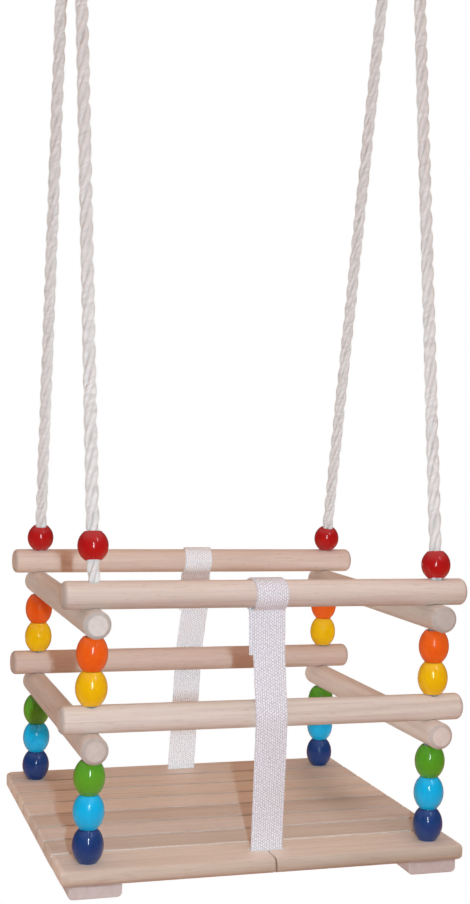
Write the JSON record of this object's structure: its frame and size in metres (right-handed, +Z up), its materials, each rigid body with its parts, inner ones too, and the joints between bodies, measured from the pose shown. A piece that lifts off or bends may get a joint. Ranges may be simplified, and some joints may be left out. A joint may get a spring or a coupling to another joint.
{
  "type": "hanging baby swing seat",
  "caption": "Wooden lattice swing seat for a small child: crosswise round rails on painted beads, slatted seat, webbing strap and two ropes to ceiling brackets.",
  "frame": {"origin": "middle of the four ceiling screw holes, on the ceiling plane that the two brackets' plates lie against", "axes": "+X to the right when facing the front of the swing, +Y to its rear, +Z up, out of the plates' upper faces; the swing hangs down -Z"},
  "size_m": [0.344, 0.31, 1.083],
  "materials": {
    "natural_wood": "fine sanded beech with a thin clear coat",
    "dark_blue_paint": "dark blue gloss lacquer on a turned wooden bead",
    "cyan_paint": "light blue gloss lacquer on a turned wooden bead",
    "green_paint": "green gloss lacquer on a turned wooden bead",
    "yellow_paint": "yellow gloss lacquer on a turned wooden bead",
    "orange_paint": "orange gloss lacquer on a turned wooden bead",
    "red_paint": "red gloss lacquer on a turned wooden bead",
    "white_rope": "white three-strand twisted rope",
    "white_webbing": "white woven webbing",
    "zinc_steel": "zinc plated steel",
    "screw_steel": "bright zinc plated wood screws",
    "ferrule_aluminium": "pressed aluminium, matt",
    "dark_nylon": "moulded dark grey nylon"
  },
  "bodies": {
    "ceiling_fittings": {"left_bracket": "zinc_steel", "right_bracket": "zinc_steel", "left_bolt": "zinc_steel", "right_bolt": "zinc_steel", "left_nut": "zinc_steel", "right_nut": "zinc_steel"},
    "swing": {"left_bushing": "dark_nylon", "right_bushing": "dark_nylon", "left_ferrule": "ferrule_aluminium", "right_ferrule": "ferrule_aluminium", "left_rope": "white_rope", "right_rope": "white_rope", "rope_stops": "ferrule_aluminium", "upper_front_rail": "natural_wood", "upper_rear_rail": "natural_wood", "upper_left_rail": "natural_wood", "upper_right_rail": "natural_wood", "lower_front_rail": "natural_wood", "lower_rear_rail": "natural_wood", "lower_left_rail": "natural_wood", "lower_right_rail": "natural_wood", "front_slat": "natural_wood", "slat_1": "natural_wood", "slat_2": "natural_wood", "slat_3": "natural_wood", "slat_4": "natural_wood", "slat_5": "natural_wood", "slat_6": "natural_wood", "rear_slat": "natural_wood", "left_batten": "natural_wood", "right_batten": "natural_wood", "seat_screws": "screw_steel", "front_strap": "white_webbing", "under_seat_strap": "white_webbing", "rear_strap": "white_webbing"},
    "front_left_blue_bead": {"front_left_blue_bead": "dark_blue_paint"},
    "front_left_cyan_bead": {"front_left_cyan_bead": "cyan_paint"},
    "front_left_green_bead": {"front_left_green_bead": "green_paint"},
    "front_left_yellow_bead": {"front_left_yellow_bead": "yellow_paint"},
    "front_left_orange_bead": {"front_left_orange_bead": "orange_paint"},
    "front_left_red_bead": {"front_left_red_bead": "red_paint"},
    "front_right_blue_bead": {"front_right_blue_bead": "dark_blue_paint"},
    "front_right_cyan_bead": {"front_right_cyan_bead": "cyan_paint"},
    "front_right_green_bead": {"front_right_green_bead": "green_paint"},
    "front_right_yellow_bead": {"front_right_yellow_bead": "yellow_paint"},
    "front_right_orange_bead": {"front_right_orange_bead": "orange_paint"},
    "front_right_red_bead": {"front_right_red_bead": "red_paint"},
    "rear_left_blue_bead": {"rear_left_blue_bead": "dark_blue_paint"},
    "rear_left_cyan_bead": {"rear_left_cyan_bead": "cyan_paint"},
    "rear_left_green_bead": {"rear_left_green_bead": "green_paint"},
    "rear_left_yellow_bead": {"rear_left_yellow_bead": "yellow_paint"},
    "rear_left_orange_bead": {"rear_left_orange_bead": "orange_paint"},
    "rear_left_red_bead": {"rear_left_red_bead": "red_paint"},
    "rear_right_blue_bead": {"rear_right_blue_bead": "dark_blue_paint"},
    "rear_right_cyan_bead": {"rear_right_cyan_bead": "cyan_paint"},
    "rear_right_green_bead": {"rear_right_green_bead": "green_paint"},
    "rear_right_yellow_bead": {"rear_right_yellow_bead": "yellow_paint"},
    "rear_right_orange_bead": {"rear_right_orange_bead": "orange_paint"},
    "rear_right_red_bead": {"rear_right_red_bead": "red_paint"}
  },
  "joints": [
    {"name": "swing", "type": "hinge", "parent": "ceiling_fittings", "child": "swing", "pos_m": [0, 0, -0.046], "axis": [1, 0, 0], "range_deg": [-40, 40]},
    {"name": "front_left_blue_bead_spin", "type": "hinge", "parent": "swing", "child": "front_left_blue_bead", "pos_m": [-0.143, -0.128, -1.06], "axis": [0, 0, 1], "continuous": true},
    {"name": "front_left_cyan_bead_spin", "type": "hinge", "parent": "swing", "child": "front_left_cyan_bead", "pos_m": [-0.143, -0.128, -1.06], "axis": [0, 0, 1], "continuous": true},
    {"name": "front_left_green_bead_spin", "type": "hinge", "parent": "swing", "child": "front_left_green_bead", "pos_m": [-0.143, -0.128, -1.06], "axis": [0, 0, 1], "continuous": true},
    {"name": "front_left_yellow_bead_spin", "type": "hinge", "parent": "swing", "child": "front_left_yellow_bead", "pos_m": [-0.143, -0.128, -1.06], "axis": [0, 0, 1], "continuous": true},
    {"name": "front_left_orange_bead_spin", "type": "hinge", "parent": "swing", "child": "front_left_orange_bead", "pos_m": [-0.143, -0.128, -1.06], "axis": [0, 0, 1], "continuous": true},
    {"name": "front_left_red_bead_slide", "type": "slide", "parent": "swing", "child": "front_left_red_bead", "axis": [-0.0099, 0.1676, 0.9858], "range_m": [-0.0155, 0.5845]},
    {"name": "front_right_blue_bead_spin", "type": "hinge", "parent": "swing", "child": "front_right_blue_bead", "pos_m": [0.143, -0.128, -1.06], "axis": [0, 0, 1], "continuous": true},
    {"name": "front_right_cyan_bead_spin", "type": "hinge", "parent": "swing", "child": "front_right_cyan_bead", "pos_m": [0.143, -0.128, -1.06], "axis": [0, 0, 1], "continuous": true},
    {"name": "front_right_green_bead_spin", "type": "hinge", "parent": "swing", "child": "front_right_green_bead", "pos_m": [0.143, -0.128, -1.06], "axis": [0, 0, 1], "continuous": true},
    {"name": "front_right_yellow_bead_spin", "type": "hinge", "parent": "swing", "child": "front_right_yellow_bead", "pos_m": [0.143, -0.128, -1.06], "axis": [0, 0, 1], "continuous": true},
    {"name": "front_right_orange_bead_spin", "type": "hinge", "parent": "swing", "child": "front_right_orange_bead", "pos_m": [0.143, -0.128, -1.06], "axis": [0, 0, 1], "continuous": true},
    {"name": "front_right_red_bead_slide", "type": "slide", "parent": "swing", "child": "front_right_red_bead", "axis": [0.0099, 0.1676, 0.9858], "range_m": [0, 0.6]},
    {"name": "rear_left_blue_bead_spin", "type": "hinge", "parent": "swing", "child": "rear_left_blue_bead", "pos_m": [-0.143, 0.128, -1.06], "axis": [0, 0, 1], "continuous": true},
    {"name": "rear_left_cyan_bead_spin", "type": "hinge", "parent": "swing", "child": "rear_left_cyan_bead", "pos_m": [-0.143, 0.128, -1.06], "axis": [0, 0, 1], "continuous": true},
    {"name": "rear_left_green_bead_spin", "type": "hinge", "parent": "swing", "child": "rear_left_green_bead", "pos_m": [-0.143, 0.128, -1.06], "axis": [0, 0, 1], "continuous": true},
    {"name": "rear_left_yellow_bead_spin", "type": "hinge", "parent": "swing", "child": "rear_left_yellow_bead", "pos_m": [-0.143, 0.128, -1.06], "axis": [0, 0, 1], "continuous": true},
    {"name": "rear_left_orange_bead_spin", "type": "hinge", "parent": "swing", "child": "rear_left_orange_bead", "pos_m": [-0.143, 0.128, -1.06], "axis": [0, 0, 1], "continuous": true},
    {"name": "rear_left_red_bead_slide", "type": "slide", "parent": "swing", "child": "rear_left_red_bead", "axis": [-0.0099, -0.1676, 0.9858], "range_m": [0, 0.6]},
    {"name": "rear_right_blue_bead_spin", "type": "hinge", "parent": "swing", "child": "rear_right_blue_bead", "pos_m": [0.143, 0.128, -1.06], "axis": [0, 0, 1], "continuous": true},
    {"name": "rear_right_cyan_bead_spin", "type": "hinge", "parent": "swing", "child": "rear_right_cyan_bead", "pos_m": [0.143, 0.128, -1.06], "axis": [0, 0, 1], "continuous": true},
    {"name": "rear_right_green_bead_spin", "type": "hinge", "parent": "swing", "child": "rear_right_green_bead", "pos_m": [0.143, 0.128, -1.06], "axis": [0, 0, 1], "continuous": true},
    {"name": "rear_right_yellow_bead_spin", "type": "hinge", "parent": "swing", "child": "rear_right_yellow_bead", "pos_m": [0.143, 0.128, -1.06], "axis": [0, 0, 1], "continuous": true},
    {"name": "rear_right_orange_bead_spin", "type": "hinge", "parent": "swing", "child": "rear_right_orange_bead", "pos_m": [0.143, 0.128, -1.06], "axis": [0, 0, 1], "continuous": true},
    {"name": "rear_right_red_bead_slide", "type": "slide", "parent": "swing", "child": "rear_right_red_bead", "axis": [0.0099, -0.1676, 0.9858], "range_m": [0, 0.6]}
  ]
}
